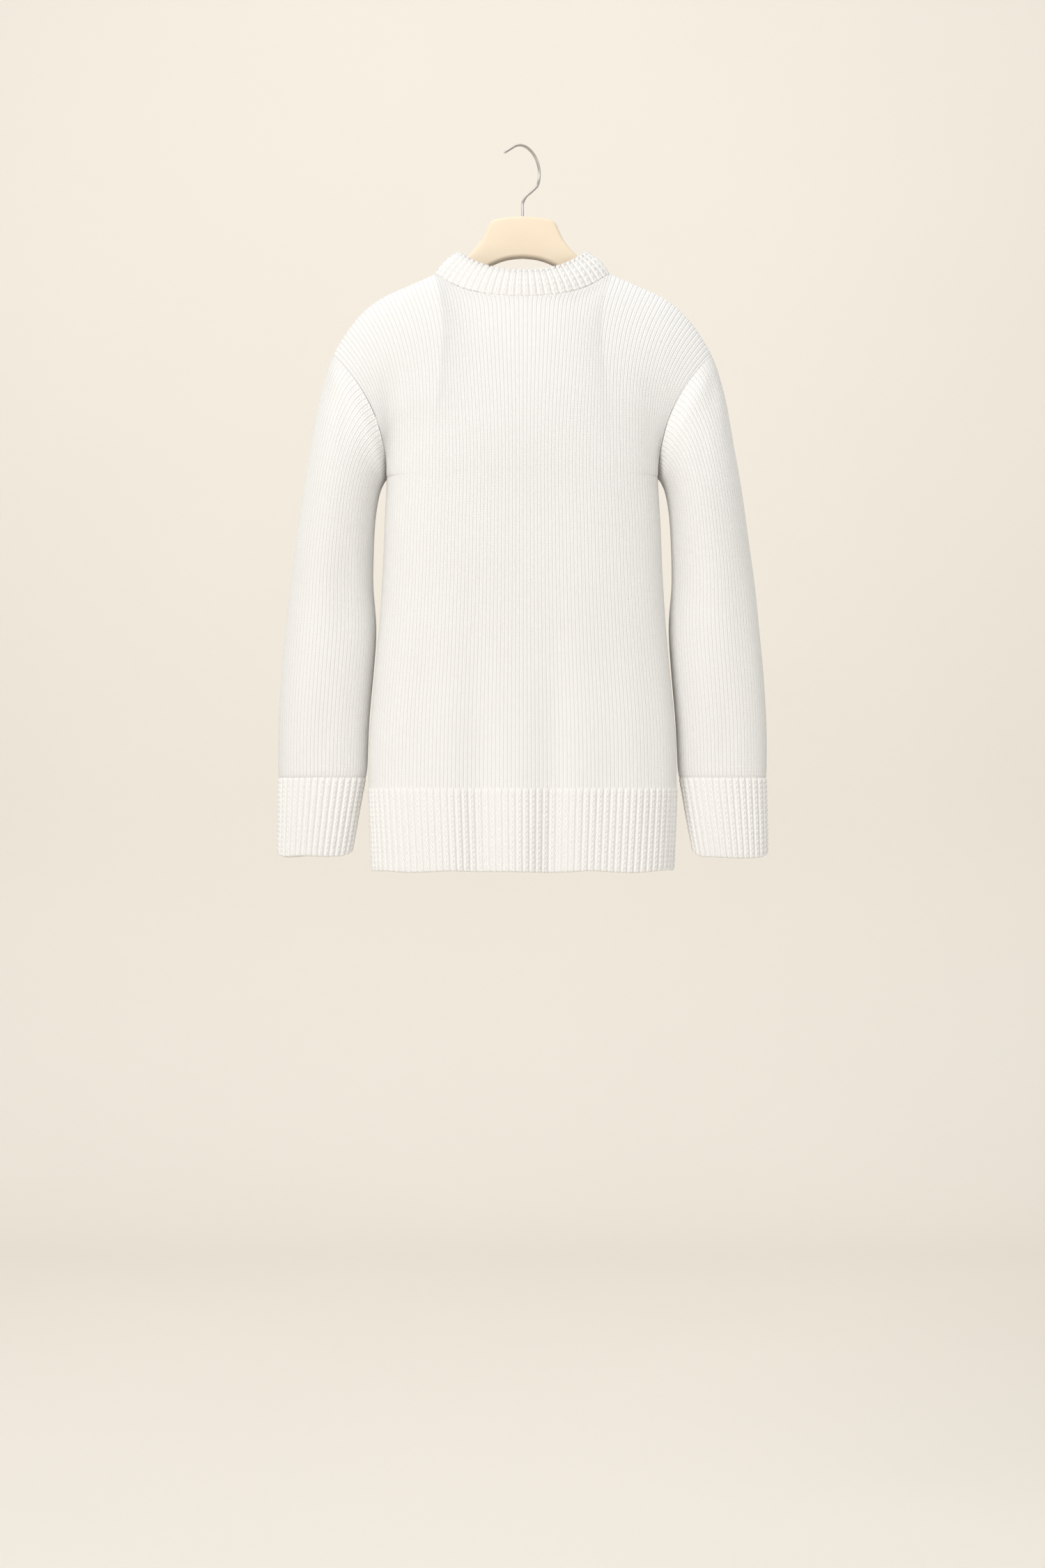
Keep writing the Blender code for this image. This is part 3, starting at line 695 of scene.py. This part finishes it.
def make_sleeve(side, name, finish):
    last = len(SLEEVE) - 1
    middle = Ruler(lambda share: sleeve_point(side, pi / 2, smooth_at(SLEEVE, share * last)))
    girth = Ruler(lambda share: sleeve_surface(side, 2 * pi * share, 0.5 * last))

    def place(around, along):
        return sleeve_surface(side, 2 * pi * around, last * middle.place(along ** SLEEVE_SPREAD))

    def distance(along):
        return middle.total * along ** SLEEVE_SPREAD

    def relief(around, along):
        from_puff = (distance(along) - CAP_PUFF_FROM_SEAM) / CAP_PUFF_HALF
        puff = CAP_PUFF * exp(-from_puff ** 2) * sin(2 * pi * around) ** 2
        return seam_dip(distance(along)) + puff

    wales = round(girth.total / WALE)
    cloth(name + "_sleeve", "sleeve_" + name, finish, SLEEVE_FACES, place,
          lambda around, along: (around * wales, -distance(along) / COURSE), relief, ring=True)


def rib_relief(ribs, stitches, from_end, from_seam):
    """Raised ribs with their stitches, rounded off at the band's free edge and flat at its seam."""
    full = blend(RIB_AT_SEAM, 1.0, ease(from_seam / RIB_START))
    sway = RIB_SWAY * sin(2 * pi * stitches)
    rise = RIB_RISE * (rib_profile(ribs + sway) - RIB_MIDDLE) + STITCH_RISE * stitch_profile(ribs, stitches)
    rounding = 0.0
    if from_end < RIB_ROUNDING:
        round_share = 1 - sqrt(max(0.0, 1 - (1 - from_end / RIB_ROUNDING) ** 2))
        rounding = RIB_ROUNDING * RIB_ROUNDING_DEPTH * round_share
    return rise * full - rounding


def band(name, node, finish, ribs, rows, tall, place, ring=False):
    """A rib band that hangs free at its foot. Tall is its height."""
    cloth(name, node, finish, (ribs * RIB_FACES, rows), place,
          lambda around, up: (around * ribs, up * tall / RIB_STITCH),
          lambda around, up: rib_relief(around * ribs, up * tall / RIB_STITCH, up * tall, (1 - up) * tall),
          ring=ring, wall=RIB_WALL)


def make_hem(side, name, finish):
    low = Ruler(lambda share: lower_point(side, 2 * share - 1, *HEM))
    high = Ruler(lambda share: lower_point(side, 2 * share - 1, *BODY[0]))
    ribs = round(low.total / RIB_PITCH)
    tall = BODY[0][0] - HEM[0]

    def place(across, up):
        foot = lower_point(side, 2 * low.place(across) - 1, *HEM)
        foot.z += EDGE_STRAY * noise.noise(foot * HEM_STRAY_SCALE)
        head = lower_point(side, 2 * high.place(across) - 1, *BODY[0])
        return foot.lerp(head, up)

    band("hem_" + name, "hem_rib_" + name, finish, ribs, HEM_ROWS, tall, place)


def make_cuff(side, name, finish):
    high = Ruler(lambda share: sleeve_point(side, 2 * pi * share, CUFF_TOP))
    low = Ruler(lambda share: sleeve_point(side, 2 * pi * share, CUFF_END))
    ribs = round(high.total / RIB_PITCH)
    tall = CUFF_TOP[1] - CUFF_END[1]

    def place(around, up):
        head = sleeve_point(side, 2 * pi * high.place(around), CUFF_TOP)
        angle = 2 * pi * low.place(around)
        foot = sleeve_point(side, angle, CUFF_END)
        lift = CUFF_LIFT * abs(cos(angle)) ** CUFF_LIFT_CURVE
        foot.z += lift + EDGE_STRAY * noise.noise(foot * CUFF_STRAY_SCALE)
        return foot.lerp(head, up)

    band("cuff_" + name, "cuff_rib_" + name, finish, ribs, CUFF_ROWS, tall, place, ring=True)


def make_neckband(finish):
    neck = Neck()

    def stitches_up(section):
        return BAND_RISE / RIB_STITCH * section / BAND_OUTSIDE

    def share_of_rise(section):
        """How much of their height the ribs have at a place round the band's cross-section."""
        if section < BAND_FOOT:
            return blend(FOOT_SHARE, 1.0, section / BAND_FOOT)
        if section < BAND_EDGE:
            return SCALLOP if section > SCALLOP_FROM * BAND_OUTSIDE else 1.0
        return 0.0 if section > BAND_INSIDE else INNER_SHARE

    def relief(around, section):
        ribs = around * neck.count
        stitch = STITCH_RISE * stitch_profile(ribs, stitches_up(section))
        return (RIB_RISE * (rib_profile(ribs) - BAND_RIB_MIDDLE) + stitch) * share_of_rise(section)

    cloth("neckband", "neck_rib", finish, (neck.count * RIB_FACES, NECK_ROWS), neck.point,
          lambda around, section: (around * neck.count, stitches_up(section)), relief, ring=True, closed=True)


# Hanger

def smooth_line(knots, steps):
    """More points on a smooth line through the knots."""
    last = len(knots) - 1
    return [smooth_at(knots, step / steps) for step in range(last * steps + 1)]


def even_line(knots, count):
    """Points at even distances on a smooth line through the knots."""
    last = len(knots) - 1
    ruler = Ruler(lambda place: smooth_at(knots, place * last))
    return [smooth_at(knots, ruler.place(step / count) * last) for step in range(count + 1)]


def hanger_outline():
    """The hanger's right half from its crown, out along the arm's top, round its end and back below it.

    Its points lie in pairs, the first one over the last one.
    """
    arm = []
    start = NECK_HALF + ARM_START_OUT
    end = ARM_END * TIP_HALF - ARM_END_SHORT - ARM_END_HEIGHT / 2
    drop = CLOTH + HANGER_GAP
    for step in range(ARM_POINTS):
        x = blend(start, end, step / (ARM_POINTS - 1))
        slope = Vector((ARM_NEAR, top_line(BACK, x + ARM_NEAR) - top_line(BACK, x))).normalized()
        arm.append((x + slope.y * drop, top_line(BACK, x) - slope.x * drop))
    below = []
    for step, (x, z) in enumerate(arm):
        height = blend(ARM_HEIGHT, ARM_END_HEIGHT, step / (ARM_POINTS - 1))
        below.append((x - ARM_END_SLANT * step / ARM_POINTS, z - height))
    high, low = Vector(arm[-1]), Vector(below[-1])
    middle, reach = (high + low) / 2, (high - low) / 2
    outward = Vector((reach.y, -reach.x))
    turns = [radians(turn) for turn in range(TURN_STEP, 180, TURN_STEP)]
    tip = [tuple(middle + reach * cos(turn) + outward * sin(turn)) for turn in turns]
    return (even_line(HANGER_CROWN + tuple(arm), HANGER_POINTS) + tip
            + even_line(tuple(below[::-1]) + HANGER_ARCH, HANGER_POINTS))


def inset(outline, depth):
    """The closed outline moved inwards by a depth."""
    moved = []
    for step, spot in enumerate(outline):
        along = Vector(outline[(step + 1) % len(outline)]) - Vector(outline[step - 1])
        along.normalize()
        moved.append(Vector(spot) + Vector((along.y, -along.x)) * depth)
    return moved


def finished(name, source, finish, turn=0.0):
    """The shape that an object has with its modifiers, as a plain mesh with its place in it."""
    shape = source.evaluated_get(bpy.context.evaluated_depsgraph_get())
    mesh = bpy.data.meshes.new_from_object(shape)
    mesh.transform(Matrix.Rotation(turn, 4, "Z"))
    mesh.materials.clear()
    mesh.materials.append(finish)
    mesh.shade_smooth()
    bpy.data.objects.remove(source)
    return placed(name, mesh)


def make_hanger(finish):
    """A flat moulding with rounded edges, and the bore for the hook's shank."""
    half = hanger_outline()
    outline = half + [(-x, z) for x, z in reversed(half[1:-1])]
    flat = HANGER_THICK / 2 - HANGER_EDGE
    turns = [radians(turn) for turn in range(0, 91, TURN_STEP)]
    rings = [(HANGER_INSET * (1 - cos(turn)), -flat - HANGER_EDGE * sin(turn)) for turn in reversed(turns)]
    rings += [(depth, -y) for depth, y in reversed(rings)]
    bm = bmesh.new()
    loops = [[bm.verts.new((spot.x, y, spot.y)) for spot in inset(outline, depth)] for depth, y in rings]
    for first, second in zip(loops, loops[1:]):
        for step in range(len(outline)):
            bm.faces.new((first[step - 1], first[step], second[step], second[step - 1]))
    last = len(half) - 1
    for loop in (loops[0], loops[-1]):
        for line in (loop[:last + 1], [loop[0], *reversed(loop[last:])]):
            for step in range((last + 1) // 2):
                corners = (line[step], line[step + 1], line[last - step - 1], line[last - step])
                bm.faces.new(list(dict.fromkeys(corners)))
    bmesh.ops.recalc_face_normals(bm, faces=bm.faces)
    blank = placed("hanger_blank", meshed("hanger_blank", bm))

    bm = bmesh.new()
    bmesh.ops.create_cone(bm, cap_ends=True, segments=BORE_SEGMENTS, radius1=WIRE + BORE_GAP,
                          radius2=WIRE + BORE_GAP, depth=2 * (SHANK_DEPTH + BORE_GAP))
    bmesh.ops.translate(bm, verts=bm.verts, vec=(0, 0, HANGER_CROWN[0][1]))
    cutter = placed("shank_bore", meshed("shank_bore", bm))
    bore = blank.modifiers.new("Shank bore", "BOOLEAN")
    bore.object = cutter
    bore.operation = "DIFFERENCE"
    bpy.context.view_layer.update()
    hanger = finished("hanger", blank, finish)
    bpy.data.objects.remove(cutter)
    hanger.data.set_sharp_from_angle(angle=radians(SHARP_EDGE))
    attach(hanger, "root")
    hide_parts("hanger_body")


def hook_route():
    """The wire's line in the hook's own plane: the shank, its bend, the round crown and the tip."""
    centre_z = WIRE - HOOK_RADIUS
    start = radians(HOOK_START)
    end = radians(HOOK_END)

    def crown(angle):
        return HOOK_RADIUS * cos(angle), centre_z + HOOK_RADIUS * sin(angle)

    knots = ((0.0, HANGER_CROWN[0][1] - SHANK_DEPTH), (0.0, SHANK_FIRST), (0.0, SHANK_TOP), *SHANK_BEND,
             crown(start), crown(start + radians(HOOK_LEAD)))
    route = smooth_line(knots, SHANK_STEPS)[:-SHANK_STEPS]
    route += [crown(blend(start, end, step / CROWN_STEPS)) for step in range(1, CROWN_STEPS + 1)]
    last = route[-1]
    return route + [(last[0] - share * HOOK_TIP * sin(end), last[1] + share * HOOK_TIP * cos(end))
                    for share in TIP_SHARES]


def make_hook(finish):
    curve = bpy.data.curves.new("wire", "CURVE")
    curve.dimensions = "3D"
    curve.bevel_depth = WIRE
    curve.bevel_resolution = 4
    curve.use_fill_caps = True
    route = hook_route()
    before, last = route[-2:]
    along = Vector((last[0] - before[0], last[1] - before[1])).normalized()
    rounded = [(last[0] + along.x * WIRE * sin(turn), last[1] + along.y * WIRE * sin(turn), cos(turn))
               for turn in TIP_TURNS]
    spline = curve.splines.new("POLY")
    spline.points.add(len(route) + len(rounded) - 1)
    for knot, (reach, height, radius) in zip(spline.points, [(*spot, 1.0) for spot in route] + rounded):
        knot.co = (reach, 0.0, height, 1.0)
        knot.radius = radius
    wire = placed("wire", curve)
    bpy.context.view_layer.update()
    hook = finished("hook", wire, finish, radians(HOOK_TURN))
    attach(hook, "root")
    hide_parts("hanger_hook")


# Finishes

class Number:
    """A socket that carries a number, so that shader maths reads as an expression."""

    def __init__(self, finish, socket):
        self.finish = finish
        self.socket = socket

    def maths(self, operation, *values):
        inputs = dict(enumerate((self, *values)))
        return Number(self.finish, self.finish.node("Math", {"operation": operation}, inputs).outputs[0])

    def __add__(self, other):
        return self.maths("ADD", other)

    def __sub__(self, other):
        return self.maths("SUBTRACT", other)

    def __mul__(self, other):
        return self.maths("MULTIPLY", other)


class Finish:
    """A material with its shader and its nodes."""

    def __init__(self, name, constants):
        self.material = bpy.data.materials.new(name)
        self.material.use_nodes = True
        self.tree = self.material.node_tree
        self.shader = self.tree.nodes["Principled BSDF"]
        for key, value in constants.items():
            self.shader.inputs[key].default_value = value

    def node(self, kind, settings, inputs):
        made = self.tree.nodes.new("ShaderNode" + kind)
        for key, value in settings.items():
            setattr(made, key, value)
        for key, value in inputs.items():
            self.feed(made.inputs[key], value)
        return made

    def feed(self, socket, value):
        value = value.socket if isinstance(value, Number) else value
        if isinstance(value, bpy.types.NodeSocket):
            self.tree.links.new(value, socket)
        else:
            socket.default_value = value

    def number(self, node, output):
        return Number(self, node.outputs[output])

    def grain(self, vector, scale, detail=3.0, roughness=0.55):
        inputs = {"Vector": vector, "Scale": scale, "Detail": detail, "Roughness": roughness}
        return self.number(self.node("TexNoise", {}, inputs), "Fac")

    def place(self):
        return self.node("TexCoord", {}, {}).outputs["Object"]

    def mix(self, share, low, high):
        settings = {"data_type": "RGBA"}
        return self.node("Mix", settings, {0: share, 6: low, 7: high}).outputs[2]

    def bump(self, height, distance, strength):
        inputs = {"Height": height, "Distance": distance, "Strength": strength}
        return self.node("Bump", {}, inputs).outputs["Normal"]

    def wear(self, **links):
        for key, value in links.items():
            self.feed(self.shader.inputs[key.replace("_", " ")], value)
        return self.material


def wool(name, crest, hollow_shade, depth, strength, braid):
    """Knitted wool: each stitch is two slanted legs of soft, slightly hairy yarn, with painted shade in the
    hollows between the legs.
    """
    finish = Finish(name, {"Roughness": 0.95, "Sheen Weight": 0.25, "Sheen Roughness": 0.6,
                           "Specular IOR Level": 0.2})
    stitches = finish.node("UVMap", {"uv_map": "Stitches"}, {}).outputs["UV"]
    parts = finish.node("SeparateXYZ", {}, {"Vector": stitches})
    wales = finish.number(parts, "X")
    courses = finish.number(parts, "Y")
    spot = finish.place()
    wander = finish.grain(spot, scale=320.0, detail=2.0) - 0.5
    aside = (wales.maths("FRACT") * 2.0 - 1.0).maths("ABSOLUTE")
    leg = ((courses - aside * LEG_SLANT + wander * LEG_WANDER).maths("FRACT") * pi).maths("SINE")
    lobe = ((aside * LOBE_WIDTH + (1 - LOBE_WIDTH)) * pi).maths("SINE")
    hair = finish.grain(spot, scale=1500.0, roughness=0.7)
    height = lobe * (leg * braid + (1 - braid)) + hair * HAIR_RISE
    tone = finish.grain(spot, scale=9.0)
    # The base colour is painted shade. It darkens toward the hollow colour where the stitch height is low,
    # between the legs and the stitches. The slow tone noise mixed in is the yarn's own uneven colour.
    colour = finish.mix((height * 0.85 + tone * 0.25).maths("MINIMUM", 1.0), hollow_shade, crest)
    return finish.wear(Base_Color=colour, Normal=finish.bump(height, depth, strength))


def moulded(name, pale, deep):
    """Matte moulded plastic with a faint grain."""
    finish = Finish(name, {"Specular IOR Level": 0.35})
    spot = finish.place()
    cloud = finish.grain(spot, scale=22.0, detail=4.0)
    grain = finish.grain(spot, scale=900.0, detail=2.0)
    colour = finish.mix((cloud - 0.25) * 1.1 + grain * 0.2, deep, pale)
    return finish.wear(Base_Color=colour, Roughness=grain * 0.12 + 0.50,
                       Normal=finish.bump(grain, distance=0.0003, strength=0.25))


def drawn_wire(name, pale, deep):
    """Steel wire with the fine lines of its drawing and a duller film in patches."""
    finish = Finish(name, {"Metallic": 1.0})
    spot = finish.place()
    drawn = finish.node("VectorMath", {"operation": "MULTIPLY"}, {0: spot, 1: (1.0, 1.0, 0.08)}).outputs[0]
    lines = finish.grain(drawn, scale=2600.0, detail=2.0)
    film = finish.grain(spot, scale=120.0)
    colour = finish.mix(film, deep, pale)
    return finish.wear(Base_Color=colour, Roughness=film * 0.14 + lines * 0.10 + 0.20,
                       Normal=finish.bump(lines, distance=0.0001, strength=0.3))


def plain(name, colour):
    """A seamless studio surface."""
    finish = Finish(name, {"Roughness": 1.0, "Specular IOR Level": 0.0})
    tone = finish.grain(finish.place(), scale=1.2, detail=2.0)
    dimmer = tuple(channel * 0.97 for channel in colour[:3]) + (1.0,)
    return finish.wear(Base_Color=finish.mix(tone, dimmer, colour))


# Studio

def make_cove(finish):
    """A floor that turns up into a backdrop well behind the sweater."""
    bm = bmesh.new()
    ends = [bm.verts.new((x, COVE_FRONT, COVE_FLOOR)) for x in (-COVE_HALF, COVE_HALF)]
    edge = bm.edges.new(ends)
    made = bmesh.ops.extrude_edge_only(bm, edges=[edge])["geom"]
    line = [item for item in made if isinstance(item, bmesh.types.BMVert)]
    bmesh.ops.translate(bm, verts=line, vec=(0, COVE_BACK - COVE_BEND - COVE_FRONT, 0))
    edge = next(item for item in made if isinstance(item, bmesh.types.BMEdge))
    centre = (0, COVE_BACK - COVE_BEND, COVE_FLOOR + COVE_BEND)
    spun = bmesh.ops.spin(bm, geom=[edge, *line], cent=centre, axis=(1, 0, 0), angle=pi / 2,
                          steps=COVE_BEND_STEPS)["geom_last"]
    edge = next(item for item in spun if isinstance(item, bmesh.types.BMEdge))
    made = bmesh.ops.extrude_edge_only(bm, edges=[edge])["geom"]
    line = [item for item in made if isinstance(item, bmesh.types.BMVert)]
    bmesh.ops.translate(bm, verts=line, vec=(0, 0, COVE_RISE))
    bmesh.ops.recalc_face_normals(bm, faces=bm.faces)
    mesh = meshed("cove", bm)
    mesh.materials.append(finish)
    mesh.shade_smooth()
    cove = placed("cove", mesh)


def make_light(lamp):
    glow = bpy.data.lights.new(lamp.name, "AREA")
    glow.shape = "RECTANGLE"
    glow.size, glow.size_y = lamp.size
    glow.energy = lamp.power
    glow.color = lamp.colour
    light = placed(lamp.name, glow)
    light.location = lamp.place
    light.rotation_euler = (Vector(lamp.target) - Vector(lamp.place)).to_track_quat("-Z", "Y").to_euler()


def make_studio():
    world = bpy.data.worlds.new("Studio")
    world.use_nodes = True
    sky = world.node_tree.nodes["Background"]
    sky.inputs["Color"].default_value = (*WARM_WHITE, 1.0)
    sky.inputs["Strength"].default_value = SKY_STRENGTH
    bpy.context.scene.world = world
    for lamp in LAMPS:
        make_light(lamp)
    bpy.context.scene.view_settings.view_transform = "Standard"

    lens = bpy.data.cameras.new("Camera")
    lens.sensor_width = SENSOR
    lens.lens = SENSOR * EYE_DISTANCE / VIEW_HEIGHT
    camera = placed("Camera", lens)
    camera.location = (0.0, -EYE_DISTANCE, EYE_HEIGHT)
    camera.rotation_euler = (radians(90), 0.0, 0.0)
    bpy.context.scene.camera = camera


# The hollow colours below are painted shade in the stitches' hollows. The crest colours are the ivory yarn's
# own.
knit = wool("Ivory wool knit", crest=(0.955, 0.95, 0.938, 1.0), hollow_shade=(0.80, 0.78, 0.74, 1.0),
            depth=0.0012, strength=0.85, braid=0.55)
rib = wool("Ivory wool rib", crest=(0.955, 0.948, 0.932, 1.0), hollow_shade=(0.85, 0.83, 0.79, 1.0),
           depth=0.0014, strength=0.8, braid=0.70)
make_hanger(moulded("Cream moulded plastic", pale=(0.88, 0.76, 0.60, 1.0), deep=(0.82, 0.69, 0.52, 1.0)))
make_hook(drawn_wire("Drawn steel wire", pale=(0.66, 0.63, 0.59, 1.0), deep=(0.45, 0.42, 0.38, 1.0)))
for side, name in ((BACK, "back"), (FRONT, "front")):
    make_panel(side, name, knit)
    make_hem(side, name, rib)
for side, name in ((LEFT, "left"), (RIGHT, "right")):
    make_sleeve(side, name, knit)
    make_cuff(side, name, rib)
make_neckband(rib)
make_cove(plain("Pale seamless paper", (0.84, 0.80, 0.73, 1.0)))
make_studio()
